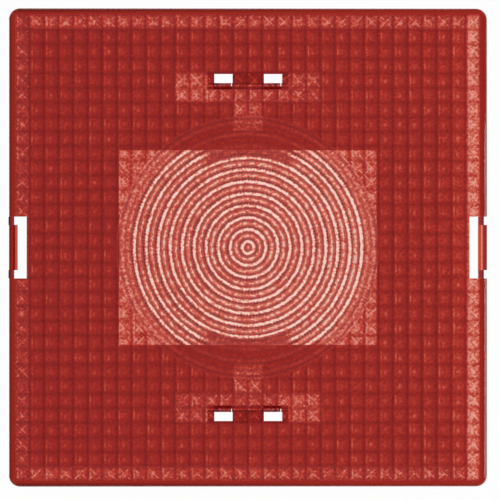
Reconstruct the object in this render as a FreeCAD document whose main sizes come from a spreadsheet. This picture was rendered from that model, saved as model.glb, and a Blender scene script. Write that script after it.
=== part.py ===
import FreeCAD, Part
import Sketcher
import os

# Clip-on lens hood of a square indicator light, moulded in one piece from
# clear red plastic. Its front is smooth. The inner side of the face is covered
# with a grid of ridges round pyramid pits and, in the middle, has a lens of
# concentric ribs and grooves.
# The face looks along +Z. The hood stands on the rear edge of its skirt, and
# the origin is the middle of that edge, on the surface that it stands on.
# All lengths are millimetres.

SIZES = {
    # Outer shell
    "face_width": 55.0,
    "hood_depth": 8.0,
    "wall": 0.67,
    "corner_radius": 1.25,
    "front_bevel": 0.3,
    "face_thickness": 1.5,
    # Ridges and pyramid pits on the inner side of the face
    "cell_count": 32,
    "edge_cells": 1,
    "prism_height": 0.42,
    # Ring lens
    "ring_count": 11,
    "ring_pitch": 1.38,
    "ring_groove": 0.72,
    "ring_height": 0.57,
    "lens_thickness": 0.7,
    # Thick pad behind the face, with its thin window and clip recesses
    "pad_step": 0.7,
    "window_width": 29.7,
    "window_length": 22.4,
    "recess_row": 10,
    "recess_rows": 2,
    "recess_cells": 10,
    "stem_rows": 2,
    "stem_cells": 2,
    # Snap hooks behind the face, and the mould openings over their barbs
    "hook_spread": 5.7,
    "hook_width": 2.1,
    "hook_inset": 1.92,
    "hook_thickness": 0.35,
    "hook_ground_gap": 1.0,
    "barb_reach": 0.45,
    "barb_height": 1.6,
    "barb_lip": 0.5,
    "opening_length": 1.4,
    "collar_width": 9.3,
    "collar_depth": 1.6,
    "collar_wall": 0.3,
    # Spring tongues in the left and right walls
    "slot_length": 7.1,
    "slot_width": 1.35,
    "tongue_width": 5.2,
    "tongue_thickness": 0.45,
    "tongue_setback": 0.3,
    "tongue_rail": 1.4,
    "nose_reach": 0.55,
    "nose_height": 1.2,
    "nose_lip": 0.4,
    "nose_drop": 1.0,
    # How far joined solids reach into each other, so that they fuse as one
    "embed": 0.25,
}

# Levels and lengths that follow from the sizes, as expressions. FACE_BACK,
# LENS_BACK and PAD_BACK are where the face, the lens in the window and the pad
# are thinnest, at the tips of the pits and on the floors of the grooves.
INNER_HALF = "(Sizes.face_width / 2 - Sizes.wall)"
PITCH = f"(2 * {INNER_HALF} / Sizes.cell_count)"
PAD_HALF = f"({INNER_HALF} - Sizes.edge_cells * {PITCH})"
FACE_BACK = "(Sizes.hood_depth - Sizes.face_thickness)"
LENS_BACK = "(Sizes.hood_depth - Sizes.lens_thickness)"
PAD_BACK = f"({FACE_BACK} - Sizes.pad_step)"
LENS_RADIUS = "(Sizes.ring_count * Sizes.ring_pitch)"
HOOK_LINE = f"((Sizes.recess_row + Sizes.recess_rows) * {PITCH} - Sizes.hook_inset)"
COLLAR_LENGTH = "(Sizes.hook_thickness + Sizes.opening_length + Sizes.collar_wall)"
COLLAR_FOOT = f"({FACE_BACK} - Sizes.collar_depth)"
TONGUE_FACE = "(Sizes.face_width / 2 - Sizes.tongue_thickness)"
NOSE_FOOT = "(Sizes.hood_depth - Sizes.nose_drop - Sizes.nose_height)"


def add_sheet(doc):
    """Write the driving sizes into a spreadsheet, one named cell each."""
    sheet = doc.addObject("Spreadsheet::Sheet", "Sizes")
    for row, (name, value) in enumerate(SIZES.items(), start=1):
        sheet.set(f"A{row}", name)
        sheet.set(f"B{row}", str(value))
        sheet.setAlias(f"B{row}", name)
    doc.recompute()
    return sheet


def place(obj, corner, turn=0):
    """Turn an object about Z and put it where three expressions say."""
    obj.Placement.Rotation = FreeCAD.Rotation(FreeCAD.Vector(0, 0, 1), turn)
    for axis, expression in zip("xyz", corner):
        obj.setExpression(f"Placement.Base.{axis}", expression)


def add_box(doc, name, size, corner, turn=0):
    """Add a box whose lengths and lowest corner are expressions."""
    box = doc.addObject("Part::Box", name)
    for prop, expression in zip(("Length", "Width", "Height"), size):
        box.setExpression(prop, expression)
    place(box, corner, turn)
    return box


def add_catch(doc, name, width, reach, height, lip, foot, turn):
    """Add a catch that reaches along its own +Y and thins to a lip.

    Its flat upper side holds, and its slanted underside leads in. foot is the
    middle of the line where the underside leaves the wall behind it.
    """
    catch = doc.addObject("Part::Wedge", name)
    slope = f"({height} - {lip}) / {reach}"
    expressions = {
        "Xmin": f"-{width} / 2",
        "Xmax": f"{width} / 2",
        "X2min": f"-{width} / 2",
        "X2max": f"{width} / 2",
        "Ymin": "-Sizes.embed",
        "Ymax": reach,
        "Zmin": f"-Sizes.embed * {slope}",
        "Zmax": height,
        "Z2min": f"{height} - {lip}",
        "Z2max": height,
    }
    for prop, expression in expressions.items():
        catch.setExpression(prop, expression)
    place(catch, foot, turn)
    return catch


def fuse(doc, name, shapes):
    """Join solids into one."""
    joined = doc.addObject("Part::MultiFuse", name)
    joined.Shapes = shapes
    joined.Refine = False
    return joined


def cut(doc, name, base, tool):
    """Take one solid out of another."""
    result = doc.addObject("Part::Cut", name)
    result.Base = base
    result.Tool = tool
    result.Refine = False
    return result


def common(doc, name, base, tool):
    """Keep what two solids share."""
    result = doc.addObject("Part::Common", name)
    result.Base = base
    result.Tool = tool
    result.Refine = False
    return result


def square_sketch(body, name, half_width):
    """Sketch a centred square on the plane of the skirt's rear edge."""
    plane = next(f for f in body.Origin.OriginFeatures if f.Role == "XY_Plane")
    sketch = body.newObject("Sketcher::SketchObject", name)
    sketch.AttachmentSupport = [(plane, "")]
    sketch.MapMode = "FlatFace"
    corners = [FreeCAD.Vector(x, y, 0) for x, y in ((-1, -1), (1, -1), (1, 1), (-1, 1))]
    for start, end in zip(corners, corners[1:] + corners[:1]):
        sketch.addGeometry(Part.LineSegment(start, end))
    for side in range(4):
        sketch.addConstraint(Sketcher.Constraint("Coincident", side, 2, (side + 1) % 4, 1))
        direction = "Horizontal" if side % 2 == 0 else "Vertical"
        sketch.addConstraint(Sketcher.Constraint(direction, side))
    sketch.addConstraint(Sketcher.Constraint("Symmetric", 0, 1, 2, 1, -1, 1))
    for side in (0, 1):
        length = sketch.addConstraint(Sketcher.Constraint("Distance", side, 2.0))
        sketch.setExpression(f"Constraints[{length}]", f"2 * {half_width}")
    return sketch


def edges_named(shape, test):
    """Name the edges of a shape that pass a test."""
    return [f"Edge{i}" for i, edge in enumerate(shape.Edges, start=1) if test(edge)]


def is_upright(edge):
    """Tell whether an edge runs along Z."""
    return abs(edge.tangentAt(edge.FirstParameter).z) > 0.999


def add_shell(doc, sheet):
    """Build the square cup: a face plate with a thin skirt round it."""
    body = doc.addObject("PartDesign::Body", "OuterShell")
    block = body.newObject("PartDesign::Pad", "Block")
    block.Profile = square_sketch(body, "Outline", "(Sizes.face_width / 2)")
    block.setExpression("Length", "Sizes.hood_depth")
    doc.recompute()

    corners = body.newObject("PartDesign::Fillet", "CornerRounds")
    corners.Base = (block, edges_named(block.Shape, is_upright))
    corners.setExpression("Radius", "Sizes.corner_radius")
    doc.recompute()

    def is_front(edge):
        return all(abs(v.Point.z - sheet.hood_depth) < 1e-6 for v in edge.Vertexes)

    bevel = body.newObject("PartDesign::Chamfer", "FrontBevel")
    bevel.Base = (corners, edges_named(corners.Shape, is_front))
    bevel.setExpression("Size", "Sizes.front_bevel")
    doc.recompute()

    cavity = body.newObject("PartDesign::Pocket", "Cavity")
    cavity.Profile = square_sketch(body, "CavityOutline", INNER_HALF)
    cavity.Reversed = True
    cavity.setExpression("Length", f"{FACE_BACK} + Sizes.embed")
    body.Tip = cavity
    doc.recompute()
    return body


def row_profile(pitch, count, height, top):
    """Return the section across a row of pits: a slab with ridges on its underside."""
    half = pitch * count / 2
    points = [FreeCAD.Vector(-half, 0, top), FreeCAD.Vector(-half, 0, -height)]
    for cell in range(count):
        left = -half + cell * pitch
        points.append(FreeCAD.Vector(left + pitch / 2, 0, 0))
        points.append(FreeCAD.Vector(left + pitch, 0, -height))
    points += [FreeCAD.Vector(half, 0, top), points[0]]
    return Part.Face(Part.makePolygon(points))


def ring_profile(sheet, top):
    """Return half the section of the ring lens: a slab with a ribbed underside."""
    flank = (sheet.ring_pitch - sheet.ring_groove) / 2
    points = [FreeCAD.Vector(0, 0, top), FreeCAD.Vector(0, 0, -sheet.ring_height)]
    for ring in range(int(sheet.ring_count)):
        groove = ring * sheet.ring_pitch + flank
        points.append(FreeCAD.Vector(groove, 0, 0))
        points.append(FreeCAD.Vector(groove + sheet.ring_groove, 0, 0))
        points.append(FreeCAD.Vector((ring + 1) * sheet.ring_pitch, 0, -sheet.ring_height))
    # The border of the lens is the outer side of a groove, with no rib after it.
    points[-1].z = 0
    points += [FreeCAD.Vector(sheet.ring_count * sheet.ring_pitch, 0, top), points[0]]
    return Part.Face(Part.makePolygon(points))


def add_profile(doc, name, shape, level, turn=0):
    """Add a section whose height 0 is at a level."""
    profile = doc.addObject("Part::Feature", name)
    profile.Shape = shape
    place(profile, ("0", "0", level), turn)
    return profile


def add_grid(doc, sheet, name, edge_cells, level, top):
    """Build a square of ridges and pits under a slab, with a margin of whole cells.

    level is the height of the pits' tips as an expression, and top the slab's
    thickness over them.
    """
    pitch = (sheet.face_width - 2 * sheet.wall) / sheet.cell_count
    count = int(sheet.cell_count) - 2 * edge_cells
    section = row_profile(pitch, count, sheet.prism_height, top)
    rows = []
    for turn, direction in ((0, FreeCAD.Vector(0, 1, 0)), (90, FreeCAD.Vector(1, 0, 0))):
        row = doc.addObject("Part::Extrusion", f"{name}Rows{turn}")
        row.Base = add_profile(doc, f"{name}Section{turn}", section, level, turn)
        row.DirMode = "Custom"
        row.Dir = direction
        row.Solid = True
        row.Symmetric = True
        row.LengthFwd = pitch * count
        rows.append(row)
    return fuse(doc, name, rows)


def add_rings(doc, sheet, name, level, top):
    """Build a round lens of concentric ribs under a slab."""
    rings = doc.addObject("Part::Revolution", name)
    rings.Source = add_profile(doc, f"{name}Section", ring_profile(sheet, top), level)
    rings.Axis = FreeCAD.Vector(0, 0, 1)
    rings.Angle = 360
    rings.Solid = True
    return rings


def add_window(doc, name, height):
    """Build the outline of the window in the pad, up to a height."""
    size = ("Sizes.window_width", "Sizes.window_length", height)
    return add_box(doc, name, size, ("-Sizes.window_width / 2", "-Sizes.window_length / 2", "0"))


def add_recesses(doc):
    """Build the outlines of the clip recesses. Returns (recesses, stems).

    They follow the lines of the grid, and a stem joins each recess to the lens.
    """
    made = {"Recess": [], "Stem": []}
    for side, sign, turn in (("Top", "1", 0), ("Bottom", "-1", 180)):
        for part, cells, rows, first in (
            ("Recess", "Sizes.recess_cells", "Sizes.recess_rows", "Sizes.recess_row"),
            ("Stem", "Sizes.stem_cells", "Sizes.stem_rows", "(Sizes.recess_row - Sizes.stem_rows)"),
        ):
            size = (f"{cells} * {PITCH}", f"{rows} * {PITCH}", "Sizes.hood_depth")
            corner = (f"-{sign} * {cells} * {PITCH} / 2", f"{sign} * {first} * {PITCH}", "0")
            made[part].append(add_box(doc, f"{side}{part}", size, corner, turn))
    return made["Recess"], made["Stem"]


def add_optics(doc, sheet, lens_place, openings):
    """Build the prisms and rings behind the face, in the window and on the pad."""
    window = add_window(doc, "Window", "Sizes.hood_depth")
    recesses, stems = add_recesses(doc)
    block = add_box(
        doc,
        "PadBlock",
        (f"2 * {PAD_HALF}", f"2 * {PAD_HALF}", "Sizes.hood_depth"),
        (f"-{PAD_HALF}", f"-{PAD_HALF}", "0"),
    )
    pad = cut(doc, "PadOutline", block, fuse(doc, "ThinPlaces", [window, *recesses, *stems]))
    bare = fuse(doc, "BarePlaces", [lens_place, *openings])

    face_top = 2 * sheet.embed
    pad_top = sheet.pad_step + 1.5 * sheet.embed
    face_grid = add_grid(doc, sheet, "FaceGrid", 0, FACE_BACK, face_top)
    pad_grid = add_grid(doc, sheet, "PadGrid", int(sheet.edge_cells), PAD_BACK, pad_top)
    optics = [
        cut(doc, "FacePrisms", face_grid, bare),
        common(doc, "PadPrisms", pad_grid, cut(doc, "PadMargin", pad, bare)),
    ]
    for name, level, top, outline in (
        ("WindowRings", LENS_BACK, face_top, window),
        ("StemRings", FACE_BACK, face_top, fuse(doc, "StemPlaces", stems)),
        ("PadRings", PAD_BACK, pad_top, pad),
    ):
        rings = add_rings(doc, sheet, f"All{name}", level, top)
        optics.append(common(doc, name, rings, outline))
    return optics


def add_hooks(doc, side, sign, turn):
    """Build one pair of snap hooks. Returns (collar, openings, hooks)."""
    collar = add_box(
        doc,
        f"{side}Collar",
        ("Sizes.collar_width", COLLAR_LENGTH, "Sizes.collar_depth + Sizes.embed"),
        (f"-{sign} * Sizes.collar_width / 2", f"{sign} * {HOOK_LINE}", COLLAR_FOOT),
        turn,
    )
    openings = []
    hooks = []
    for number, across in ((1, "-1"), (2, "1")):
        centre = f"({across} * Sizes.hook_spread / 2)"
        corner = f"{centre} - {sign} * Sizes.hook_width / 2"
        outer = f"({HOOK_LINE} + Sizes.hook_thickness)"
        openings.append(
            add_box(
                doc,
                f"{side}Opening{number}",
                ("Sizes.hook_width", "Sizes.opening_length", "Sizes.hood_depth"),
                (corner, f"{sign} * {outer}", f"{COLLAR_FOOT} - Sizes.embed"),
                turn,
            )
        )
        hooks.append(
            add_box(
                doc,
                f"{side}Beam{number}",
                (
                    "Sizes.hook_width",
                    "Sizes.hook_thickness",
                    f"{COLLAR_FOOT} + Sizes.embed - Sizes.hook_ground_gap",
                ),
                (corner, f"{sign} * {HOOK_LINE}", "Sizes.hook_ground_gap"),
                turn,
            )
        )
        hooks.append(
            add_catch(
                doc,
                f"{side}Barb{number}",
                "Sizes.hook_width",
                "Sizes.barb_reach",
                "Sizes.barb_height",
                "Sizes.barb_lip",
                (centre, f"{sign} * {outer}", "Sizes.hook_ground_gap"),
                turn,
            )
        )
    return collar, openings, hooks


def add_tongue(doc, side, sign, turn):
    """Build one spring tongue. Returns (slot, [tongue, nose])."""
    slot = add_box(
        doc,
        f"{side}Slot",
        ("Sizes.slot_width + 2 * Sizes.wall", "Sizes.slot_length", "Sizes.hood_depth"),
        (
            f"{sign} * ({INNER_HALF} - Sizes.slot_width)",
            f"-{sign} * Sizes.slot_length / 2",
            "Sizes.tongue_rail",
        ),
        turn,
    )
    tongue = add_box(
        doc,
        f"{side}Tongue",
        (
            "Sizes.tongue_thickness",
            "Sizes.tongue_width",
            "Sizes.hood_depth - Sizes.tongue_setback - Sizes.tongue_rail + Sizes.embed",
        ),
        (
            f"{sign} * {TONGUE_FACE}",
            f"-{sign} * Sizes.tongue_width / 2",
            "Sizes.tongue_rail - Sizes.embed",
        ),
        turn,
    )
    nose = add_catch(
        doc,
        f"{side}Nose",
        "Sizes.tongue_width",
        "Sizes.nose_reach",
        "Sizes.nose_height",
        "Sizes.nose_lip",
        (f"{sign} * {TONGUE_FACE}", "0", NOSE_FOOT),
        turn + 90,
    )
    return slot, [tongue, nose]


def add_hood(doc, sheet):
    """Join the shell, the optics, the hooks and the tongues."""
    lens_place = doc.addObject("Part::Cylinder", "LensPlace")
    lens_place.setExpression("Radius", LENS_RADIUS)
    lens_place.setExpression("Height", "Sizes.hood_depth")

    collars = []
    openings = []
    added = []
    for side, sign, turn in (("Top", "1", 0), ("Bottom", "-1", 180)):
        collar, holes, hooks = add_hooks(doc, side, sign, turn)
        collars.append(collar)
        openings += holes
        added += hooks
    for side, sign, turn in (("Right", "1", 0), ("Left", "-1", 180)):
        slot, tongue = add_tongue(doc, side, sign, turn)
        openings.append(slot)
        added += tongue

    seat = common(
        doc,
        "LensSeat",
        lens_place,
        add_window(doc, "SeatOutline", f"{LENS_BACK} + Sizes.embed"),
    )
    plain = fuse(doc, "ShellAndCollars", [add_shell(doc, sheet), *collars])
    pierced = cut(doc, "PiercedShell", plain, fuse(doc, "Cores", [seat, *openings]))
    optics = add_optics(doc, sheet, lens_place, openings)
    hood = fuse(doc, "Hood", [pierced, *optics, *added])
    hood.Refine = True
    hood.Label = "lens_hood"
    return hood


def check(doc, parts):
    """Stop if an object failed, or if a part is not one sound solid."""
    for obj in doc.Objects:
        if "Invalid" in obj.State or "Error" in obj.State:
            raise RuntimeError(f"{obj.Label} failed: {obj.State}")
    for part in parts:
        if part.Shape.isNull() or not part.Shape.isValid():
            raise RuntimeError(f"{part.Label} has no sound shape")
        if len(part.Shape.Solids) != 1:
            raise RuntimeError(f"{part.Label} is {len(part.Shape.Solids)} solids")


def main():
    """Build the document and write one file for each part."""
    doc = FreeCAD.newDocument("LensHood")
    sheet = add_sheet(doc)
    parts = [add_hood(doc, sheet)]
    doc.recompute()
    check(doc, parts)
    os.makedirs("parts", exist_ok=True)
    for part in parts:
        part.Shape.exportStep(f"parts/{part.Label}.step")


main()
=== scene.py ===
import logging
import math
from dataclasses import dataclass
from enum import Enum
from typing import Callable, Iterable

import bmesh
import bpy
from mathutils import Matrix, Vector


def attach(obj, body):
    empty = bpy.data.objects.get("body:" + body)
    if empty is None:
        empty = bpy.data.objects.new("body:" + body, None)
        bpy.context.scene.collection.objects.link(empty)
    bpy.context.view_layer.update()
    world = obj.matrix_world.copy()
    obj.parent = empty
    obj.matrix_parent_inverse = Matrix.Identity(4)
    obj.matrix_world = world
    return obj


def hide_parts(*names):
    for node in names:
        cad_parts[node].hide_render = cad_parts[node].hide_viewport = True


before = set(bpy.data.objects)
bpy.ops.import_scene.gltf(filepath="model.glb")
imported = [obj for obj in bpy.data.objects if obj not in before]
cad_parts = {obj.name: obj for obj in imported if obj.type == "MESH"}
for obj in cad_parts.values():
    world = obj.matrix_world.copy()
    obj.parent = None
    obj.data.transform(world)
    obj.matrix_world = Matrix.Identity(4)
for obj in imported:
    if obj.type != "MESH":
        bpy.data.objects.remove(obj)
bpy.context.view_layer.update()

# Clip-on lens hood of a square indicator light: one moulding of clear red
# plastic with a smooth front. Its inner side has a grid of ridges round
# pyramid pits and a lens of concentric ribs. Sizes are millimetres, and every
# mesh is made in metres, in the row frame: face up, skirt on the floor.

MM = 0.001
WELD = 0.0005 * MM
SMOOTH_BELOW = math.radians(20)
LOG = logging.getLogger("lens_hood")

Point = tuple[float, float, float]
Pair = tuple[float, float]
Value = bpy.types.NodeSocket | float | Point

# Colour that the surfaces of the plastic add to what its inside absorbs, by
# the millimetres that the light has gone through.
DEEPEST = 5.0
DEPTH_COLOURS = (
    (0.0, (1.0, 1.0, 1.0)),
    (0.3, (1.0, 0.806, 0.66)),
    (0.65, (0.983, 0.518, 0.416)),
    (1.0, (0.842, 0.325, 0.246)),
    (1.25, (0.780, 0.274, 0.210)),
    (1.8, (0.627, 0.1205, 0.090)),
    (2.5, (0.459, 0.0737, 0.0685)),
    (3.2, (0.367, 0.0625, 0.0645)),
    (4.0, (0.258, 0.050, 0.055)),
    (5.0, (0.16, 0.03, 0.035)),
)


class Join(Enum):
    """Ways to combine two solids."""

    ADD = "UNION"
    CUT = "DIFFERENCE"
    KEEP = "INTERSECT"


class Kind(Enum):
    """Parts of a mesh, by their names in it."""

    EDGE = "edges"
    FACE = "faces"


class Side(Enum):
    """The two ends of an axis, as signs."""

    PLUS = 1
    MINUS = -1


def metres(point: Point) -> Vector:
    """Turn a point in millimetres into metres."""
    return Vector(point) * MM


def make_active(obj: bpy.types.Object) -> None:
    """Select one object alone and make it the active one.

    Args:
        obj: The object.
    """
    bpy.ops.object.select_all(action="DESELECT")
    obj.select_set(True)
    bpy.context.view_layer.objects.active = obj


def settle(obj: bpy.types.Object) -> None:
    """Put an object's place, turn and scale into its mesh.

    Args:
        obj: The object.
    """
    make_active(obj)
    bpy.ops.object.transform_apply(location=True, rotation=True, scale=True)


def add_block(name: str, low: Point, high: Point) -> bpy.types.Object:
    """Add a block between two corners.

    Args:
        name: Name of the object.
        low: Lowest corner in millimetres.
        high: Highest corner in millimetres.

    Returns:
        The block, with its place in its mesh.
    """
    bpy.ops.object.select_all(action="DESELECT")
    middle = (metres(low) + metres(high)) / 2
    bpy.ops.mesh.primitive_cube_add(size=1.0, location=middle, scale=metres(high) - metres(low))
    block = bpy.context.active_object
    block.name = name
    settle(block)
    for vertex in block.data.vertices:
        ends = zip(vertex.co, middle, metres(low), metres(high))
        vertex.co = [end if here > mid else start for here, mid, start, end in ends]
    return block


def combine(base: bpy.types.Object, way: Join, *tools: bpy.types.Object) -> bpy.types.Object:
    """Combine a solid with others, which are used up.

    Args:
        base: The solid that stays.
        way: How the others are combined with it.
        tools: The other solids.

    Returns:
        The base with its new shape.
    """
    for tool in tools:
        make_active(base)
        step = base.modifiers.new(way.name, "BOOLEAN")
        step.operation = way.value
        step.solver = "MANIFOLD"
        step.object = tool
        bpy.ops.object.modifier_apply(modifier=step.name)
        bpy.data.objects.remove(tool)
    return base


def select_where(obj: bpy.types.Object, kind: Kind, test: Callable[..., bool]) -> None:
    """Enter edit mode and select the parts of a mesh that pass a test.

    Args:
        obj: The object.
        kind: Which parts are tested.
        test: Function of one vertex, edge or face of the mesh.
    """
    make_active(obj)
    bpy.ops.object.mode_set(mode="EDIT")
    bpy.ops.mesh.select_mode(type=kind.name)
    bpy.ops.mesh.select_all(action="DESELECT")
    mesh = bmesh.from_edit_mesh(obj.data)
    for item in getattr(mesh, kind.value):
        item.select_set(bool(test(item)))
    mesh.select_flush_mode()
    bmesh.update_edit_mesh(obj.data)


def spin_solid(name: str, profile: list[tuple[float, float]], steps: int) -> bpy.types.Object:
    """Spin a profile round the Z axis into a closed solid.

    Args:
        name: Name of the object.
        profile: Points (radius, height) in millimetres, from axis to axis.
        steps: Number of faces round the axis.

    Returns:
        The solid.
    """
    bpy.ops.object.select_all(action="DESELECT")
    bpy.ops.mesh.primitive_plane_add(size=MM)
    solid = bpy.context.active_object
    solid.name = name
    bpy.ops.object.mode_set(mode="EDIT")
    bpy.ops.mesh.select_mode(type="VERT")
    bpy.ops.mesh.select_all(action="SELECT")
    bpy.ops.mesh.merge(type="CENTER")
    last = metres((profile[0][0], 0.0, profile[0][1]))
    bpy.ops.transform.translate(value=last)
    for radius, height in profile[1:]:
        point = metres((radius, 0.0, height))
        bpy.ops.mesh.extrude_vertices_move(TRANSFORM_OT_translate={"value": point - last})
        last = point
    bpy.ops.mesh.select_all(action="SELECT")
    bpy.ops.mesh.spin(steps=steps, angle=math.tau, center=(0, 0, 0), axis=(0, 0, 1))
    bpy.ops.mesh.select_all(action="SELECT")
    bpy.ops.mesh.remove_doubles(threshold=WELD)
    bpy.ops.mesh.normals_make_consistent(inside=False)
    bpy.ops.object.mode_set(mode="OBJECT")
    return solid


@dataclass(frozen=True)
class Levels:
    """Heights and lengths that the whole hood shares."""

    face_width: float = 55.0
    depth: float = 8.0
    wall: float = 0.67
    corner_radius: float = 1.25
    front_round: float = 0.3
    face_back: float = 6.5
    lens_back: float = 7.3
    pad_back: float = 5.8
    cells: int = 32
    edge_cells: int = 1
    overlap: float = 0.012
    under: float = -1.0

    @property
    def outer(self) -> float:
        """Half of the width across the outside."""
        return self.face_width / 2

    @property
    def inner(self) -> float:
        """Half of the width across the inside."""
        return self.outer - self.wall

    @property
    def pitch(self) -> float:
        """Width of one cell of the grid."""
        return 2 * self.inner / self.cells


@dataclass
class PitGrid:
    """Core of the mould that leaves ridges round pyramid pits."""

    levels: Levels
    depth: float = 0.42
    ridge_width: float = 0.07
    tip_width: float = 0.14

    def build(self, name: str, cells: int, tips: float, foot: float) -> bpy.types.Object:
        """Build a block whose top is a grid of blunt pyramids.

        Args:
            name: Name of the object.
            cells: Number of pyramids along each side.
            tips: Height of their tips.
            foot: Height of the block's underside.

        Returns:
            The block.
        """
        pitch = self.levels.pitch
        base = tips - self.depth
        bpy.ops.object.select_all(action="DESELECT")
        bpy.ops.mesh.primitive_grid_add(
            x_subdivisions=cells,
            y_subdivisions=cells,
            size=cells * pitch * MM,
            location=metres((0, 0, base)),
        )
        core = bpy.context.active_object
        core.name = name
        settle(core)
        bpy.ops.object.mode_set(mode="EDIT")
        bpy.ops.mesh.select_mode(type="FACE")
        bpy.ops.mesh.select_all(action="SELECT")
        bpy.ops.mesh.inset(thickness=self.ridge_width / 2 * MM, use_individual=True)
        flank = (pitch - self.ridge_width - self.tip_width) / 2
        bpy.ops.mesh.inset(thickness=flank * MM, depth=self.depth * MM, use_individual=True)
        bpy.ops.mesh.select_mode(type="EDGE")
        bpy.ops.mesh.select_all(action="DESELECT")
        bpy.ops.mesh.select_non_manifold()
        down = metres((0, 0, foot - base))
        bpy.ops.mesh.extrude_edges_move(TRANSFORM_OT_translate={"value": down})
        bpy.ops.mesh.edge_face_add()
        bpy.ops.mesh.select_all(action="SELECT")
        bpy.ops.mesh.normals_make_consistent(inside=False)
        bpy.ops.object.mode_set(mode="OBJECT")
        return core


@dataclass
class RingLens:
    """Core of the mould that leaves concentric ribs and grooves."""

    levels: Levels
    rings: int = 11
    pitch: float = 1.38
    height: float = 0.57
    crest: float = 0.36
    groove: float = 0.72
    steps: int = 240

    @property
    def radius(self) -> float:
        """Radius of the whole lens."""
        return self.rings * self.pitch

    def build(self, name: str, floor: float, foot: float) -> bpy.types.Object:
        """Build a round core whose top leaves the rings.

        Args:
            name: Name of the object.
            floor: Height of the grooves' floors.
            foot: Height of the core's underside.

        Returns:
            The core.
        """
        low = floor - self.height
        flank = (self.pitch - self.crest - self.groove) / 2
        profile = [(0.0, low), (self.crest / 2, low)]
        for ring in range(self.rings):
            start = ring * self.pitch + self.crest / 2
            end = (ring + 1) * self.pitch - self.crest / 2
            profile += [(start + flank, floor), (end - flank, floor)]
            if ring < self.rings - 1:
                profile += [(end, low), (end + self.crest, low)]
        profile += [(self.radius, floor), (self.radius, foot), (0.0, foot)]
        return spin_solid(name, profile, self.steps)


@dataclass
class ThinPlaces:
    """Where the face has no thick pad behind it."""

    levels: Levels
    window_width: float = 29.7
    window_length: float = 22.4
    recess_row: int = 10
    recess_rows: int = 2
    recess_cells: int = 10
    stem_rows: int = 2
    stem_cells: int = 2

    def build_window(self, shrink: float = 0.0) -> bpy.types.Object:
        """Build the outline of the window, smaller all round by a margin.

        Args:
            shrink: The margin in millimetres.

        Returns:
            A block through the whole hood.
        """
        across, along = self.window_width / 2 - shrink, self.window_length / 2 - shrink
        foot, top = self.levels.under - 1, self.levels.depth + 1
        return add_block("window", (-across, -along, foot), (across, along, top))

    def build(self) -> bpy.types.Object:
        """Build the outline of the thin places as one solid through the whole hood.

        Returns:
            The solid.
        """
        levels = self.levels
        top = levels.depth + 1
        grow = levels.overlap
        edge = levels.inner - levels.edge_cells * levels.pitch - grow
        outside = levels.outer + 1
        foot = levels.under - 1
        zone = add_block("edge_band", (-outside, -outside, foot), (outside, outside, top))
        pad = add_block("pad_place", (-edge, -edge, foot - 1), (edge, edge, top + 1))
        combine(zone, Join.CUT, pad)
        parts = [self.build_window()]
        for side in Side:
            for cells, rows, first in (
                (self.recess_cells, self.recess_rows, self.recess_row),
                (self.stem_cells, self.stem_rows, self.recess_row - self.stem_rows),
            ):
                across = cells * levels.pitch / 2 + grow
                reach = (first * levels.pitch - grow, (first + rows) * levels.pitch + grow)
                ends = sorted(side.value * y for y in reach)
                parts.append(
                    add_block("recess", (-across, ends[0], foot), (across, ends[1], top))
                )
        return combine(zone, Join.ADD, *parts)


@dataclass
class SnapHooks:
    """A pair of hooks behind the face, with the openings over their barbs."""

    levels: Levels
    line: float = 18.2025
    spread: float = 5.7
    width: float = 2.1
    thickness: float = 0.35
    ground_gap: float = 1.0
    barb_reach: float = 0.45
    barb_height: float = 1.6
    barb_lip: float = 0.5
    opening: float = 1.4
    collar_width: float = 9.3
    collar_depth: float = 1.6
    collar_wall: float = 0.3
    embed: float = 0.25

    def box(self, side: Side, name: str, across: tuple[float, float],
            out: tuple[float, float], up: tuple[float, float]) -> bpy.types.Object:
        """Add a block by its reach across, outwards on a side, and upwards."""
        ends = sorted(side.value * y for y in out)
        return add_block(name, (across[0], ends[0], up[0]), (across[1], ends[1], up[1]))

    def build_collar(self, side: Side) -> bpy.types.Object:
        """Build the wall round the two openings of a side.

        Args:
            side: The side of the hood.

        Returns:
            The wall, as a solid block.
        """
        half = self.collar_width / 2
        length = self.thickness + self.opening + self.collar_wall
        foot = self.levels.face_back - self.collar_depth
        return self.box(
            side,
            "collar",
            (-half, half),
            (self.line, self.line + length),
            (foot, self.levels.face_back + self.embed),
        )

    def build_openings(self, side: Side) -> list[bpy.types.Object]:
        """Build what is cut out over the barbs of a side.

        Args:
            side: The side of the hood.

        Returns:
            A block for each barb.
        """
        start = self.line + self.thickness
        half = self.width / 2
        return [
            self.box(
                side,
                "opening",
                (centre - half, centre + half),
                (start, start + self.opening),
                (self.levels.face_back - self.collar_depth - 1, self.levels.depth + 1),
            )
            for centre in (-self.spread / 2, self.spread / 2)
        ]

    def build_hooks(self, side: Side) -> list[bpy.types.Object]:
        """Build the beams of a side, each with its barb.

        Args:
            side: The side of the hood.

        Returns:
            The beams and barbs.
        """
        half = self.width / 2
        outer = self.line + self.thickness
        top = self.levels.face_back - self.collar_depth + self.embed
        made = []
        for centre in (-self.spread / 2, self.spread / 2):
            across = (centre - half, centre + half)
            made.append(
                self.box(side, "beam", across, (self.line, outer), (self.ground_gap, top))
            )
            barb = self.box(
                side,
                "barb",
                across,
                (outer - self.embed, outer + self.barb_reach),
                (self.ground_gap, self.ground_gap + self.barb_height),
            )
            tip = abs(outer + self.barb_reach) * MM - 1e-6
            raised = metres((0, 0, self.barb_height - self.barb_lip))
            for vertex in barb.data.vertices:
                if abs(vertex.co.y) > tip and vertex.co.z < (self.ground_gap + 0.1) * MM:
                    vertex.co += raised
            made.append(barb)
        return made


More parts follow.
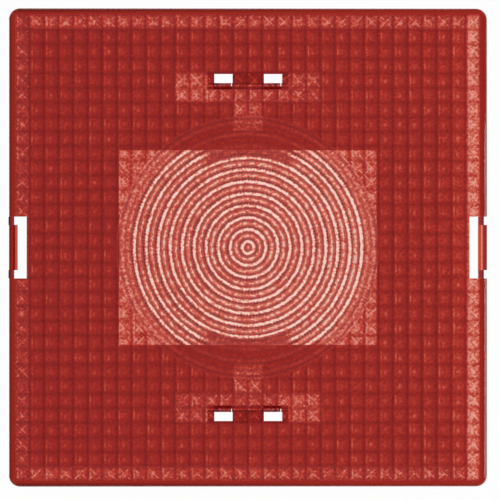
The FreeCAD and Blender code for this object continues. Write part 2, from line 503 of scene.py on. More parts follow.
@dataclass
class SpringTongue:
    """A tongue in a side wall, free at its sides and top, with a nose inside."""

    levels: Levels
    slot_length: float = 7.1
    slot_width: float = 1.35
    width: float = 5.2
    thickness: float = 0.45
    setback: float = 0.3
    rail: float = 1.4
    nose_reach: float = 0.55
    nose_height: float = 1.2
    nose_lip: float = 0.4
    nose_drop: float = 1.0
    embed: float = 0.25

    def box(self, side: Side, name: str, out: tuple[float, float],
            half: float, up: tuple[float, float]) -> bpy.types.Object:
        """Add a block by its reach outwards on a side, half width, and reach upwards."""
        ends = sorted(side.value * x for x in out)
        return add_block(name, (ends[0], -half, up[0]), (ends[1], half, up[1]))

    def build_slot(self, side: Side) -> bpy.types.Object:
        """Build what is cut out of the face and the wall.

        Args:
            side: The side of the hood.

        Returns:
            One block.
        """
        levels = self.levels
        return self.box(
            side,
            "slot",
            (levels.inner - self.slot_width, levels.outer + 1),
            self.slot_length / 2,
            (self.rail, levels.depth + 1),
        )

    def build_tongue(self, side: Side) -> list[bpy.types.Object]:
        """Build the tongue and its nose.

        Args:
            side: The side of the hood.

        Returns:
            The tongue and the nose.
        """
        levels = self.levels
        face = levels.outer - self.thickness
        half = self.width / 2
        up = (self.rail - self.embed, levels.depth - self.setback)
        tongue = self.box(side, "tongue", (face, levels.outer), half, up)
        foot = levels.depth - self.nose_drop - self.nose_height
        nose = self.box(
            side,
            "nose",
            (face - self.nose_reach, face + self.embed),
            half,
            (foot, foot + self.nose_height),
        )
        tip = (face - self.nose_reach) * MM + 1e-6
        for vertex in nose.data.vertices:
            if abs(vertex.co.x) < tip and vertex.co.z < (foot + 0.1) * MM:
                vertex.co.z += (self.nose_height - self.nose_lip) * MM
        return [tongue, nose]


def clean_up(obj: bpy.types.Object) -> None:
    """Merge the slivers that joining leaves, and shade round faces smooth and flat ones flat.

    Args:
        obj: The object.
    """
    select_where(obj, Kind.FACE, lambda face: True)
    bpy.ops.mesh.quads_convert_to_tris(quad_method="BEAUTY", ngon_method="BEAUTY")
    bpy.ops.mesh.remove_doubles(threshold=WELD)
    bpy.ops.mesh.dissolve_degenerate(threshold=WELD)
    bpy.ops.object.mode_set(mode="OBJECT")
    bpy.ops.object.shade_smooth_by_angle(angle=SMOOTH_BELOW)
    select_where(obj, Kind.FACE, lambda face: max(abs(c) for c in face.normal) > 0.9999)
    bpy.ops.mesh.faces_shade_flat()
    bpy.ops.object.mode_set(mode="OBJECT")


def dress(obj: bpy.types.Object, material: bpy.types.Material) -> None:
    """Give all faces of an object one material.

    Args:
        obj: The object.
        material: The material.
    """
    obj.data.materials.clear()
    obj.data.materials.append(material)
    obj.data.polygons.foreach_set("material_index", [0] * len(obj.data.polygons))


class Wiring:
    """Short ways to add nodes to one tree."""

    def __init__(self, tree: bpy.types.NodeTree) -> None:
        """Keep the tree that is wired."""
        self.nodes, self.links = tree.nodes, tree.links

    def feed(self, socket: bpy.types.NodeSocket, value: Value) -> None:
        """Link a socket to an output, or set it to a number or to three.

        Args:
            socket: The socket.
            value: The output or the numbers.
        """
        if isinstance(value, bpy.types.NodeSocket):
            self.links.new(value, socket)
        else:
            socket.default_value = value

    def math(self, way: str, *values: Value, clamp: bool = False) -> bpy.types.NodeSocket:
        """Work out one number.

        Args:
            way: Name of the operation.
            values: What goes in, in order.
            clamp: Whether the result stays between 0 and 1.

        Returns:
            The result.
        """
        node = self.nodes.new("ShaderNodeMath")
        node.operation = way
        node.use_clamp = clamp
        for socket, value in zip(node.inputs, values):
            self.feed(socket, value)
        return node.outputs[0]

    def vector(self, way: str, *values: Value) -> bpy.types.NodeSocket:
        """Work out one vector.

        Args:
            way: Name of the operation. Scaling takes the factor second.
            values: What goes in, in order.

        Returns:
            The result.
        """
        node = self.nodes.new("ShaderNodeVectorMath")
        node.operation = way
        sockets = [node.inputs[0], node.inputs["Scale"]] if way == "SCALE" else node.inputs
        for socket, value in zip(sockets, values):
            self.feed(socket, value)
        return node.outputs["Value" if way == "LENGTH" else "Vector"]

    def total(self, *values: Value) -> Value:
        """Add up numbers.

        Args:
            values: The numbers.

        Returns:
            Their sum.
        """
        result = values[0]
        for value in values[1:]:
            result = self.math("ADD", result, value)
        return result

    def split(self, vector: bpy.types.NodeSocket) -> list[bpy.types.NodeSocket]:
        """Split a vector into its three numbers.

        Args:
            vector: The vector.

        Returns:
            The numbers.
        """
        node = self.nodes.new("ShaderNodeSeparateXYZ")
        self.feed(node.inputs[0], vector)
        return list(node.outputs)

    def join(self, *values: Value) -> bpy.types.NodeSocket:
        """Join numbers into a vector.

        Args:
            values: The three numbers.

        Returns:
            The vector.
        """
        node = self.nodes.new("ShaderNodeCombineXYZ")
        for socket, value in zip(node.inputs, values):
            self.feed(socket, value)
        return node.outputs[0]

    def ramp(self, value: Value, ends: Pair, results: Pair) -> bpy.types.NodeSocket:
        """Carry a number from one range to another, and stop at its ends.

        Args:
            value: The number.
            ends: Ends of its range.
            results: What they become.

        Returns:
            The new number.
        """
        node = self.nodes.new("ShaderNodeMapRange")
        numbers = (value, *ends, *results)
        for socket, number in zip(node.inputs, numbers):
            self.feed(socket, number)
        return node.outputs[0]

    def blend(self, base: Value, other: Value, share: Value) -> bpy.types.NodeSocket:
        """Go from one number to another by a share."""
        change = self.math("SUBTRACT", other, base)
        return self.math("MULTIPLY_ADD", change, share, base)

    def bump(self, value: Value, middle: float, half: float) -> bpy.types.NodeSocket:
        """Make a round bump of height 1 round one value of a number.

        Args:
            value: The number.
            middle: Where the bump is highest.
            half: How far away it has sunk to about a third.

        Returns:
            The height.
        """
        away = self.math("DIVIDE", self.math("SUBTRACT", value, middle), half)
        square = self.math("MULTIPLY", away, away)
        return self.math("POWER", math.e, self.math("MULTIPLY", square, -1.0))

    def noise(self, place: Value, scale: float, detail: float = 1.0) -> bpy.types.NodeSocket:
        """Make soft noise between 0 and 1.

        Args:
            place: Where it is read.
            scale: How fine it is.
            detail: How many finer layers it has.

        Returns:
            The noise.
        """
        node = self.nodes.new("ShaderNodeTexNoise")
        self.feed(node.inputs["Vector"], place)
        node.inputs["Scale"].default_value = scale
        node.inputs["Detail"].default_value = detail
        return node.outputs[0]

    def chance(self, place: Value) -> bpy.types.NodeSocket:
        """Draw a number between 0 and 1 for each value of a vector.

        Args:
            place: The vector.

        Returns:
            The number.
        """
        node = self.nodes.new("ShaderNodeTexWhiteNoise")
        self.feed(node.inputs["Vector"], place)
        return node.outputs["Value"]

    def group(self, tree: bpy.types.NodeTree, **values: Value) -> bpy.types.NodeSocket:
        """Add a group by its tree, feed its inputs and return its output.

        Args:
            tree: The group's tree.
            values: What goes into each input.

        Returns:
            Its output.
        """
        node = self.nodes.new("ShaderNodeGroup")
        node.node_tree = tree
        for name, value in values.items():
            self.feed(node.inputs[name], value)
        return node.outputs[0]


class SharedEffect:
    """A node group with named inputs and one output."""

    def __init__(self, name: str, result: str, **inputs: str) -> None:
        """Make the group.

        Args:
            name: Name of the group.
            result: Name of its output.
            inputs: Type of each input by its name, Float or Vector.
        """
        self.tree = bpy.data.node_groups.new(name, "ShaderNodeTree")
        sockets = self.tree.interface
        for label, kind in inputs.items():
            sockets.new_socket(label, in_out="INPUT", socket_type=f"NodeSocket{kind}")
        kind = "Color" if result == "Color" else "Float"
        sockets.new_socket(result, in_out="OUTPUT", socket_type=f"NodeSocket{kind}")
        self.start = self.tree.nodes.new("NodeGroupInput")
        self.end = self.tree.nodes.new("NodeGroupOutput")
        self.wiring = Wiring(self.tree)

    def given(self, label: str) -> bpy.types.NodeSocket:
        """Return one input of the group."""
        return self.start.outputs[label]

    def give(self, value: bpy.types.NodeSocket) -> bpy.types.NodeTree:
        """Link the output and return the finished tree."""
        self.wiring.feed(self.end.inputs[0], value)
        return self.tree


def make_box_mask() -> bpy.types.NodeTree:
    """Make the effect that is 1 inside an upright box seen from the front, and 0 outside.

    Returns:
        The group's tree.
    """
    effect = SharedEffect("box_mask", "Mask", Place="Vector", Middle="Vector", Half="Vector",
                          Soft="Float")
    wiring = effect.wiring
    away = wiring.vector("SUBTRACT", effect.given("Place"), effect.given("Middle"))
    over = wiring.vector("SUBTRACT", wiring.vector("ABSOLUTE", away), effect.given("Half"))
    x, y, _ = wiring.split(over)
    outside = wiring.math("DIVIDE", wiring.math("MAXIMUM", x, y), effect.given("Soft"))
    return effect.give(wiring.math("SUBTRACT", 0.5, outside, clamp=True))


def make_cell_shade() -> bpy.types.NodeTree:
    """Make the effect of one cell of the grid, as extra millimetres of plastic.

    The dark line along each ridge stands for its thicker plastic, and the upright
    lines are darker than the level ones by painted shade. One side and one end of
    each pit are darker by painted shade, and painted highlights lie in a stroke
    left of the middle, at the tip and, where Hips is 1, along the
    hip lines. These highlights and this shade stand for light, not plastic.

    Returns:
        The group's tree.
    """
    effect = SharedEffect("cell_shade", "Shade", Place="Vector", Pitch="Float", Hips="Float")
    wiring = effect.wiring
    cells = wiring.vector(
        "SCALE", effect.given("Place"), wiring.math("DIVIDE", 1.0, effect.given("Pitch"))
    )
    here = wiring.vector("SUBTRACT", wiring.vector("FRACTION", cells), (0.5, 0.5, 0.0))
    across, along, _ = wiring.split(here)
    column, row, _ = wiring.split(wiring.vector("FLOOR", cells))
    draw = wiring.chance(wiring.join(column, row, 0.0))
    second = wiring.chance(wiring.join(row, column, 5.0))

    # Dark ridge lines: thicker plastic, and painted shade that makes the upright ones darker.
    away = wiring.math("ABSOLUTE", across)
    line = wiring.bump(away, 0.5, 0.09)
    crossline = wiring.bump(wiring.math("ABSOLUTE", along), 0.5, 0.16)
    # Painted highlight: a light stroke left of the middle of each pit.
    painted_stroke_highlight = wiring.bump(across, -0.3, 0.06)
    painted_stroke_highlight = wiring.math("MULTIPLY", painted_stroke_highlight, wiring.bump(along, 0.0, 0.42))
    painted_stroke_highlight = wiring.math("MULTIPLY", painted_stroke_highlight, wiring.ramp(second, (0.25, 1.0), (0.25, 1.5)))
    # Painted shade: one side and one end of each pit are darker.
    side = wiring.ramp(across, (-0.2, 0.35), (-0.08, 0.12))
    painted_slope_shade = wiring.math("MULTIPLY", along, 0.18)

    # Painted highlight at the tip, with a faint painted glow round it.
    tip = wiring.vector("SUBTRACT", here, wiring.join(-0.03, -0.09, 0.0))
    far = wiring.vector("LENGTH", wiring.vector("MULTIPLY", tip, (1.0, 0.5, 0.0)))
    painted_tip_highlight = wiring.math("MULTIPLY", wiring.bump(far, 0.0, 0.1), wiring.ramp(draw, (0, 1), (0.3, 1.3)))
    glow = wiring.bump(far, 0.0, 0.3)

    # Painted highlights along the hip lines, in patches.
    gap = wiring.math("SUBTRACT", away, wiring.math("ABSOLUTE", along))
    painted_hip_highlight = wiring.math("MULTIPLY", wiring.bump(gap, 0.0, 0.06), effect.given("Hips"))
    flicker = wiring.noise(effect.given("Place"), 2.3, 2.0)
    painted_hip_highlight = wiring.math("MULTIPLY", painted_hip_highlight, wiring.ramp(flicker, (0.42, 0.62), (0.0, 1.0)))
    parts = ((line, 0.85), (crossline, 0.3), (painted_stroke_highlight, -0.85), (painted_tip_highlight, -0.7), (glow, -0.1),
             (painted_hip_highlight, -1.4))
    shades = [wiring.math("MULTIPLY", part, share) for part, share in parts]
    return effect.give(wiring.total(side, painted_slope_shade, *shades))


def make_ring_shade() -> bpy.types.NodeTree:
    """Make the effect of the ribs and grooves, as extra millimetres of plastic.

    Grooves are lightest and crests less light, for their thinner and thicker
    plastic and partly as painted highlights. A dark line with fine teeth lies on
    each flank as painted shade.

    Returns:
        The group's tree.
    """
    effect = SharedEffect("ring_shade", "Shade", Place="Vector", Pitch="Float")
    wiring = effect.wiring
    x, y, _ = wiring.split(effect.given("Place"))
    radius = wiring.vector("LENGTH", wiring.join(x, y, 0.0))
    rings = wiring.math("DIVIDE", radius, effect.given("Pitch"))
    phase = wiring.math("MULTIPLY", rings, math.tau)
    double = wiring.math("MULTIPLY", phase, 2.0)
    # Painted highlights on the grooves and crests, over the tint of their thickness, and painted
    # shade on the flanks.
    band = wiring.math("MULTIPLY_ADD", wiring.math("COSINE", phase), 0.33, 0.16)
    wave = wiring.math("MULTIPLY", wiring.math("COSINE", double), -1.0)
    flank = wiring.math("MULTIPLY_ADD", wiring.math("MAXIMUM", wave, 0.0), 1.3,
                        wiring.math("MULTIPLY", wave, 0.8))

    # Fine teeth of painted shade on one flank of each rib, in patches.
    turn = wiring.math("ARCTAN2", y, x)
    number = wiring.math("ROUND", rings)
    beads = wiring.math("MULTIPLY", turn, wiring.math("MULTIPLY", number, 23.0))
    tooth = wiring.math("MULTIPLY_ADD", wiring.math("SINE", beads), 0.5, 0.5)
    beside = wiring.bump(wiring.math("FRACT", rings), 0.7, 0.14)
    along = wiring.math("MULTIPLY", turn, radius)
    streak = wiring.join(
        wiring.math("MULTIPLY", radius, 2.4), wiring.math("MULTIPLY", along, 0.9), 0.0
    )
    patch = wiring.ramp(wiring.noise(wiring.join(x, y, 3.0), 0.45), (0.42, 0.6), (0.3, 1.0))
    teeth = wiring.math("MULTIPLY", wiring.math("MULTIPLY", tooth, beside), patch)
    teeth = wiring.math("MULTIPLY", teeth, 2.2)
    rough = wiring.ramp(wiring.noise(streak, 2.0, 2.0), (0.3, 0.7), (-0.5, 0.5))
    return effect.give(wiring.total(band, flank, teeth, rough))


def make_depth_tint() -> bpy.types.NodeTree:
    """Make the effect that turns millimetres of plastic into its colour.

    Returns:
        The group's tree.
    """
    effect = SharedEffect("depth_tint", "Color", Depth="Float")
    wiring = effect.wiring
    scale = wiring.ramp(effect.given("Depth"), (0.0, DEEPEST), (0.0, 1.0))
    colours = effect.tree.nodes.new("ShaderNodeValToRGB")
    stops = colours.color_ramp.elements
    while len(stops) < len(DEPTH_COLOURS):
        stops.new(1.0)
    for stop, (depth, colour) in zip(stops, DEPTH_COLOURS):
        stop.position = depth / DEEPEST
        stop.color = (*colour, 1.0)
    wiring.feed(colours.inputs[0], scale)
    return effect.give(colours.outputs[0])


@dataclass(frozen=True)
class Zone:
    """A box of the face with its own depth of colour."""

    middle: Pair
    half: Pair
    depth: float
    soft: float = 0.15
    painted_hip_highlight: float = 1.0


class Canvas:
    """The place on the hood, in millimetres, and what is wired from it."""

    def __init__(self, wiring: Wiring) -> None:
        """Wire the place.

        Args:
            wiring: The material's own tree.
        """
        self.wiring = wiring
        self.box_mask = make_box_mask()
        coordinates = wiring.nodes.new("ShaderNodeTexCoord").outputs["Object"]
        self.place = wiring.vector("SCALE", coordinates, 1 / MM)
        self.x, y, self.z = wiring.split(self.place)
        self.radius = wiring.vector("LENGTH", wiring.join(self.x, y, 0.0))
        reach = wiring.vector("ABSOLUTE", self.place)
        self.out = wiring.math("MAXIMUM", *wiring.split(reach)[:2])

    def inside(self, zone: Zone) -> bpy.types.NodeSocket:
        """Return a mask that is 1 inside a zone and 0 outside."""
        return self.wiring.group(
            self.box_mask,
            Place=self.place,
            Middle=(*zone.middle, 0.0),
            Half=(*zone.half, 1.0),
            Soft=zone.soft,
        )

    def paint(self, depth: Value, zones: Iterable[Zone]) -> Value:
        """Lay the depths of zones over another depth, in order.

        Args:
            depth: The depth below.
            zones: The zones.

        Returns:
            The depth with the zones in it.
        """
        for zone in zones:
            depth = self.wiring.blend(depth, zone.depth, self.inside(zone))
        return depth


@dataclass(frozen=True)
class RedPlastic:
    """Clear red plastic that darkens with its thickness.

    Depths are the millimetres of plastic that a colour stands for; some of them
    stand for painted light and shade instead. A drift is the change of a depth, or
    of the rim's brightness, for each millimetre to the right, and is painted light
    that makes the right side lighter.
    """

    levels: Levels
    lens: RingLens
    thin: ThinPlaces
    roughness: float = 0.04
    ior: float = 1.02
    absorbed: Point = (130.0, 465.0, 510.0)
    pad_depth: float = 2.5
    # The pad's, the lens's and the rim's drifts are painted light that makes the right side
    # lighter.
    pad_painted_light_drift: float = -0.0065
    lens_depth: float = 0.95
    lens_painted_light_drift: float = -0.014
    lens_fade: Pair = (14.3, 13.2)
    lens_border: Pair = (15.1, 15.3)
    brow: Zone = Zone((0.0, 0.0), (4.9, 12.0), 2.3, 1.2)
    brow_start: Pair = (10.3, 10.6)
    faint: float = 0.25
    grain: float = 0.55
    grain_scale: float = 3.2
    thin_grain: float = 0.8
    front_share: float = 0.7
    lens_front: float = 0.3
    rim_painted_highlight_and_shade: Pair = (1.1, 0.5)
    rim_painted_light_drift: float = 0.006
    skirt_depth: float = 1.2
    inner_side: float = 7.5
    wall_top: float = 7.5
    skirt_top: float = 5.0

    def window(self) -> Zone:
        """Return the window in the pad."""
        return Zone((0.0, 0.0), (self.thin.window_width / 2, self.thin.window_length / 2), 1.6)

    def face_zones(self) -> list[Zone]:
        """List where the face differs from its pad, later ones over earlier ones.

        Returns:
            The zones.
        """
        thin = self.thin
        pitch, reach = self.levels.pitch, self.levels.inner
        edge = reach - pitch / 2
        row = (thin.recess_row + thin.recess_rows / 2) * pitch
        recess = (thin.recess_cells / 2 * pitch, thin.recess_rows / 2 * pitch)
        light_end, end_half = 3.6 * pitch, (1.4 * pitch, pitch)
        stem_row = (thin.recess_row - thin.stem_rows / 2) * pitch
        stem = (thin.stem_cells / 2 * pitch, thin.stem_rows / 2 * pitch)
        return [
            # The four edge bands have one thickness; their depths differ by painted light, lightest
            # on the right and darkest on the left.
            Zone((0.0, edge + 0.1), (reach, pitch / 2 - 0.1), 2.05, 0.5),
            Zone((0.0, -edge - 0.1), (reach, pitch / 2 - 0.1), 2.2, 0.5),
            Zone((-edge, 0.0), (pitch / 2, reach), 2.6),
            Zone((edge - 0.6 * pitch, 0.0), (0.7 * pitch, reach), 2.05, 1.5, painted_hip_highlight=0.0),
            Zone((edge + 0.1, 0.0), (pitch / 2 - 0.1, reach), 1.15, 0.5),
            Zone((0.0, row), recess, 2.2, 0.35),
            Zone((-light_end, row), end_half, 1.75, 0.6),
            Zone((0.0, -row), recess, 2.3, 0.35),
            Zone((light_end, -row), end_half, 1.75, 0.6),
            Zone((0.0, stem_row), stem, 2.05, 0.35),
            Zone((0.0, -stem_row), stem, 2.05, 0.35),
            self.window(),
        ]

    def hook_zones(self) -> list[Zone]:
        """List the collars, beams and barbs that show through the face.

        Returns:
            The zones.
        """
        return [
            Zone((0.0, side.value * out), (4.65, reach), depth, 0.08)
            for side in Side
            for out, reach, depth in ((19.23, 1.03, 2.9), (18.64, 0.1, 1.5), (18.85, 0.12, 3.6))
        ]

    def tongue_zones(self) -> list[Zone]:
        """List the surrounds, tongues and noses of the openings in the walls.

        Returns:
            The zones.
        """
        zones = []
        # The noses are lighter by a painted reflection, the right one more than the left; the rail
        # in each slot is painted clear.
        for side, nose in ((Side.PLUS, 0.9), (Side.MINUS, 1.9)):
            zones += [
                Zone((side.value * 26.9, 0.0), (0.7, 3.55), 3.2, 0.05),
                Zone((side.value * 27.2, 0.0), (0.4, 2.6), 0.0, 0.05),
                Zone((side.value * 26.7, 0.0), (0.35, 2.6), nose, 0.05),
            ]
        return zones

    def wire_fine(self, canvas: Canvas, bright: Value, brow: Value, thin: Value) -> Value:
        """Wire the pattern of cells and rings.

        Args:
            canvas: The place on the hood.
            bright: Mask of the lens in the window.
            brow: Mask of the plain parts above and below it.
            thin: Mask of the thin places.

        Returns:
            Painted light and shade, with grain, as extra millimetres of plastic.
        """
        wiring = canvas.wiring
        cells = wiring.group(
            make_cell_shade(), Place=canvas.place, Pitch=self.levels.pitch, Hips=thin
        )
        rings = wiring.group(make_ring_shade(), Place=canvas.place, Pitch=self.lens.pitch)
        outside = wiring.ramp(canvas.radius, self.lens_border, (0.0, 1.0))
        fine = wiring.blend(wiring.math("MULTIPLY", rings, self.faint), cells, outside)
        fine = wiring.blend(fine, rings, bright)
        fine = wiring.blend(fine, wiring.math("MULTIPLY", fine, self.faint), brow)
        noise = wiring.noise(canvas.place, self.grain_scale, 2.0)
        grain = wiring.ramp(noise, (0.25, 0.75), (-self.grain, self.grain))
        stronger = wiring.math("MULTIPLY_ADD", thin, self.thin_grain, 1.0)
        return wiring.math("ADD", fine, wiring.math("MULTIPLY", grain, stronger))

    def wire_sides(self, canvas: Canvas) -> Value:
        """Wire the mask of the upright faces of the skirt, hooks and tongues.

        Args:
            canvas: The place on the hood.

        Returns:
            The mask.
        """
        wiring, inner = canvas.wiring, self.levels.inner
        geometry = wiring.nodes.new("ShaderNodeNewGeometry")
        tilt = wiring.split(geometry.outputs["True Normal"])[2]
        upright = wiring.ramp(wiring.math("ABSOLUTE", tilt), (0.5, 0.45), (0.0, 1.0))
        wall = wiring.ramp(canvas.out, (inner - 0.1, inner - 0.05), (0.0, 1.0))
        below = wiring.ramp(canvas.z, (self.wall_top, self.wall_top - 0.1), (0.0, 1.0))
        skirt = wiring.ramp(canvas.z, (self.skirt_top, self.skirt_top - 0.1), (0.0, 1.0))
        skirt = wiring.math("MAXIMUM", skirt, wiring.math("MULTIPLY", wall, below))
        return wiring.math("MULTIPLY", upright, skirt)

    def wire(self, wiring: Wiring) -> bpy.types.NodeSocket:
        """Wire the colour over the hood.

        Straight down, the front and the inner side together give the whole
        depth. The front takes a share of it, and the inner side the rest.

        Args:
            wiring: The material's own tree.

        Returns:
            The colour.
        """
        levels = self.levels
        canvas = Canvas(wiring)
        window = canvas.inside(self.window())
        fade = wiring.ramp(canvas.radius, self.lens_fade, (0.0, 1.0))
        bright = wiring.math("MULTIPLY", window, fade)
        start = wiring.ramp(canvas.radius, self.brow_start, (0.0, 1.0))
        brow = wiring.math("MULTIPLY", canvas.inside(self.brow), start)

        # Painted light: the pad and the lens get lighter to the right.
        depth = wiring.math("MULTIPLY_ADD", canvas.x, self.pad_painted_light_drift, self.pad_depth)
        thin: Value = 0.0
        for zone in self.face_zones():
            share = canvas.inside(zone)
            depth = wiring.blend(depth, zone.depth, share)
            thin = wiring.math("MAXIMUM", thin, wiring.math("MULTIPLY", share, zone.painted_hip_highlight))
        centre = wiring.math("MULTIPLY_ADD", canvas.x, self.lens_painted_light_drift, self.lens_depth)
        depth = wiring.blend(depth, centre, bright)
        depth = wiring.blend(depth, self.brow.depth, wiring.math("MULTIPLY", brow, window))
        depth = canvas.paint(depth, self.hook_zones())
        share = wiring.math("MULTIPLY", depth, self.front_share)
        front = wiring.blend(share, self.lens_front, bright)
        depth = wiring.math("ADD", depth, self.wire_fine(canvas, bright, brow, thin))

        # Painted light on the rim: a painted highlight along its inner edge, painted shade towards
        # its outer edge, and lighter to the right.
        rim = wiring.ramp(canvas.out, (levels.inner - 0.05, levels.inner + 0.05), (0.0, 1.0))
        ends = (levels.inner + 0.2, levels.outer - 0.05)
        border = wiring.ramp(canvas.out, ends, self.rim_painted_highlight_and_shade)
        border = wiring.math("MULTIPLY_ADD", canvas.x, self.rim_painted_light_drift, border)
        dimmed = wiring.blend(1.0, border, rim)
        sides = self.wire_sides(canvas)
        whole, front = (
            wiring.blend(
                canvas.paint(wiring.blend(value, 0.0, rim), self.tongue_zones()),
                self.skirt_depth,
                sides,
            )
            for value in (depth, front)
        )

        depth_tint = make_depth_tint()
        total = wiring.group(depth_tint, Depth=whole)
        outer = wiring.group(depth_tint, Depth=front)
        inner = wiring.vector("DIVIDE", wiring.vector("MULTIPLY", total, total), outer)
        inner = wiring.vector("MINIMUM", inner, (1.0, 1.0, 1.0))
        low = wiring.ramp(canvas.z, (self.inner_side - 0.1, self.inner_side), (1.0, 0.0))
        change = wiring.vector("SUBTRACT", inner, outer)
        colour = wiring.vector("ADD", outer, wiring.vector("SCALE", change, low))
        return wiring.vector("SCALE", colour, dimmed)

    def make(self) -> bpy.types.Material:
        """Make the material.

        Returns:
            The material.
        """
        material = bpy.data.materials.new("clear_red_plastic")
        material.use_nodes = True
        wiring = Wiring(material.node_tree)
        shader = wiring.nodes["Principled BSDF"]
        shader.inputs["Roughness"].default_value = self.roughness
        shader.inputs["IOR"].default_value = self.ior
        shader.inputs["Transmission Weight"].default_value = 1.0
        shader.inputs["Coat Weight"].default_value = 1.0
        wiring.feed(shader.inputs["Base Color"], self.wire(wiring))
        inside = wiring.nodes.new("ShaderNodeVolumeAbsorption")
        density = max(self.absorbed) * 1.1
        kept = [1 - share / density for share in self.absorbed]
        inside.inputs["Color"].default_value = (*kept, 1.0)
        inside.inputs["Density"].default_value = density
        wiring.feed(wiring.nodes["Material Output"].inputs["Volume"], inside.outputs["Volume"])
        return material


class LensHood:
    """The whole hood, one piece."""

    def __init__(self) -> None:
        """Gather the parts of the moulding."""
        self.levels = Levels()
        self.grid = PitGrid(self.levels)
        self.lens = RingLens(self.levels)
        self.thin = ThinPlaces(self.levels)
        self.hooks = SnapHooks(self.levels)
        self.tongue = SpringTongue(self.levels)

    def build_blank(self) -> bpy.types.Object:
        """Build the outer block with its rounded corners and front edge.

        Returns:
            The block.
        """
        levels = self.levels
        half = levels.outer
        blank = add_block("lens_hood_moulding", (-half, -half, 0), (half, half, levels.depth))
        front = (levels.depth - 0.01) * MM
        select_where(blank, Kind.EDGE, lambda e: abs(e.verts[0].co.z - e.verts[1].co.z) > MM)
        bpy.ops.mesh.bevel(offset=levels.corner_radius * MM, segments=8, affect="EDGES")
        bpy.ops.object.mode_set(mode="OBJECT")
        select_where(blank, Kind.EDGE, lambda e: all(v.co.z > front for v in e.verts))
        bpy.ops.mesh.bevel(offset=levels.front_round * MM, segments=3, affect="EDGES")
        bpy.ops.object.mode_set(mode="OBJECT")
        return blank

    def build_core(self) -> list[bpy.types.Object]:
        """Build the three levels of the core that shapes the inner side.

        Returns:
            The cores, one by one.
        """
        levels = self.levels
        radius = self.lens.radius - levels.overlap
        low, high = levels.under - 1, levels.depth + 1
        lens_place = [(0.0, low), (radius, low), (radius, high), (0.0, high)]
        cores = []
        for name, cells, tips in (
            ("pad_core", levels.cells - 2 * levels.edge_cells, levels.pad_back),
            ("face_core", levels.cells, levels.face_back),
        ):
            core = self.grid.build(name, cells, tips, levels.under)
            combine(core, Join.CUT, spin_solid("lens_place", lens_place, self.lens.steps))
            combine(core, Join.ADD, self.lens.build("lens_core", tips, levels.under))
            cores.append(core)
        combine(cores[1], Join.KEEP, self.thin.build())
        window_lens = self.lens.build("window_core", levels.lens_back, levels.under)
        cores.append(combine(window_lens, Join.KEEP, self.thin.build_window(levels.overlap)))
        return cores

    def build(self) -> bpy.types.Object:
        """Build the moulding.

        Returns:
            The hood, riding on the root body in place of its solid.
        """
        hood = self.build_blank()
        combine(hood, Join.CUT, *self.build_core())
        for side in Side:
            combine(hood, Join.ADD, self.hooks.build_collar(side))
        for side in Side:
            combine(hood, Join.CUT, *self.hooks.build_openings(side), self.tongue.build_slot(side))
        for side in Side:
            combine(hood, Join.ADD, *self.hooks.build_hooks(side), *self.tongue.build_tongue(side))
        clean_up(hood)
        dress(hood, RedPlastic(self.levels, self.lens, self.thin).make())
        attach(hood, "root")
        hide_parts("lens_hood")
        return hood


@dataclass(frozen=True)
class Lamp:
    """A square lamp over the hood, in metres, degrees and watts."""

    name: str
    place: Point
    turn: Point
    power: float
    size: float = 0.25


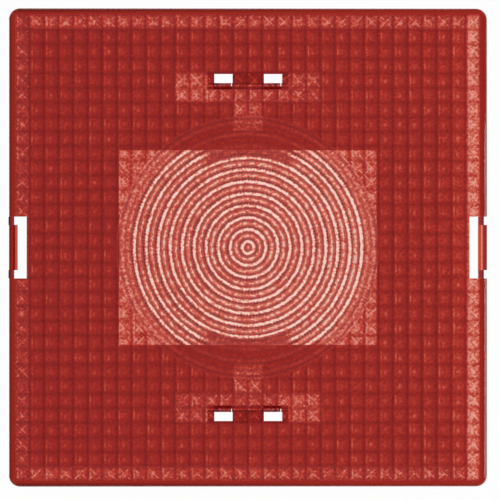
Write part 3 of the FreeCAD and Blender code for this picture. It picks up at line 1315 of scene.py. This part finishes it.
@dataclass
class Studio:
    """White floor, soft lamps and the camera."""

    view_distance: float = 1200.0
    stand_off: float = -40.0
    picture_width: float = 57.5
    aim: Point = (0.2, -0.285, 8.0)
    paper: float = 0.8
    glow_share: float = 0.98
    sky: float = 0.5
    sky_light: float = 0.4
    sky_seen: float = 2.0
    sky_mirrored: float = 0.2
    lamps: tuple[Lamp, ...] = (
        Lamp("lamp_left", (-0.35, 0.15, 0.3), (0.0, -50.0, 0.0), 0.6),
        Lamp("lamp_right", (0.35, -0.1, 0.3), (0.0, 50.0, 0.0), 0.8),
    )

    def add_floor(self) -> bpy.types.Object:
        """Add the floor, which shows white through clear plastic.

        Returns:
            The floor.
        """
        bpy.ops.object.select_all(action="DESELECT")
        bpy.ops.mesh.primitive_plane_add(size=4.0, location=(0, 0, -0.00005))
        floor = bpy.context.active_object
        floor.name = "floor"
        material = bpy.data.materials.new("white_paper")
        material.use_nodes = True
        wiring = Wiring(material.node_tree)
        paper = wiring.nodes["Principled BSDF"]
        paper.inputs["Base Color"].default_value = (self.paper, self.paper, self.paper, 1.0)
        paper.inputs["Roughness"].default_value = 0.8
        glow = wiring.nodes.new("ShaderNodeEmission")
        rays = wiring.nodes.new("ShaderNodeLightPath").outputs
        direct = wiring.math("MULTIPLY", rays["Is Camera Ray"], self.glow_share)
        seen = wiring.math("MAXIMUM", direct, rays["Is Transmission Ray"], clamp=True)
        seen = wiring.math("MAXIMUM", seen, rays["Is Glossy Ray"])
        mix = wiring.nodes.new("ShaderNodeMixShader")
        for socket, value in zip(mix.inputs, (seen, paper.outputs[0], glow.outputs[0])):
            wiring.feed(socket, value)
        wiring.feed(wiring.nodes["Material Output"].inputs["Surface"], mix.outputs[0])
        floor.data.materials.append(material)
        return floor

    def light(self) -> None:
        """Set the world and the lamps."""
        world = bpy.data.worlds.new("studio")
        bpy.context.scene.world = world
        world.use_nodes = True
        wiring = Wiring(world.node_tree)
        sky = wiring.nodes["Background"]
        sky.inputs["Color"].default_value = (self.sky, self.sky, self.sky, 1.0)
        rays = wiring.nodes.new("ShaderNodeLightPath").outputs
        seen = wiring.math("MAXIMUM", rays["Is Camera Ray"], rays["Is Transmission Ray"])
        strength = wiring.ramp(seen, (0.0, 1.0), (self.sky_light, self.sky_seen))
        dim = wiring.ramp(rays["Is Glossy Ray"], (0.0, 1.0), (1.0, self.sky_mirrored))
        wiring.feed(sky.inputs["Strength"], wiring.math("MULTIPLY", strength, dim))
        for lamp in self.lamps:
            light = bpy.data.lights.new(lamp.name, "AREA")
            light.size = lamp.size
            light.energy = lamp.power
            holder = bpy.data.objects.new(lamp.name, light)
            holder.location = lamp.place
            holder.rotation_euler = [math.radians(angle) for angle in lamp.turn]
            bpy.context.scene.collection.objects.link(holder)

    def add_camera(self) -> None:
        """Add the camera, looking straight down from slightly to the left."""
        data = bpy.data.cameras.new("camera")
        camera = bpy.data.objects.new("camera", data)
        bpy.context.scene.collection.objects.link(camera)
        aim = metres(self.aim)
        place = aim + metres((self.stand_off, 0, self.view_distance))
        camera.location = place
        back = (place - aim).normalized()
        camera.rotation_euler = (0, math.atan2(back.x, back.z), 0)
        data.sensor_width = 36.0
        data.lens = data.sensor_width * (place - aim).length / (self.picture_width * MM)
        data.clip_start = 0.01
        bpy.context.scene.camera = camera


def main() -> None:
    """Build the hood and the studio, and note the sizes."""
    logging.basicConfig(level=logging.INFO)
    hood = LensHood().build()
    LOG.info("%s: %d faces", hood.name, len(hood.data.polygons))
    studio = Studio()
    studio.add_floor()
    studio.light()
    studio.add_camera()
    bpy.context.scene.view_settings.view_transform = "Standard"


if __name__ == "__main__":
    main()
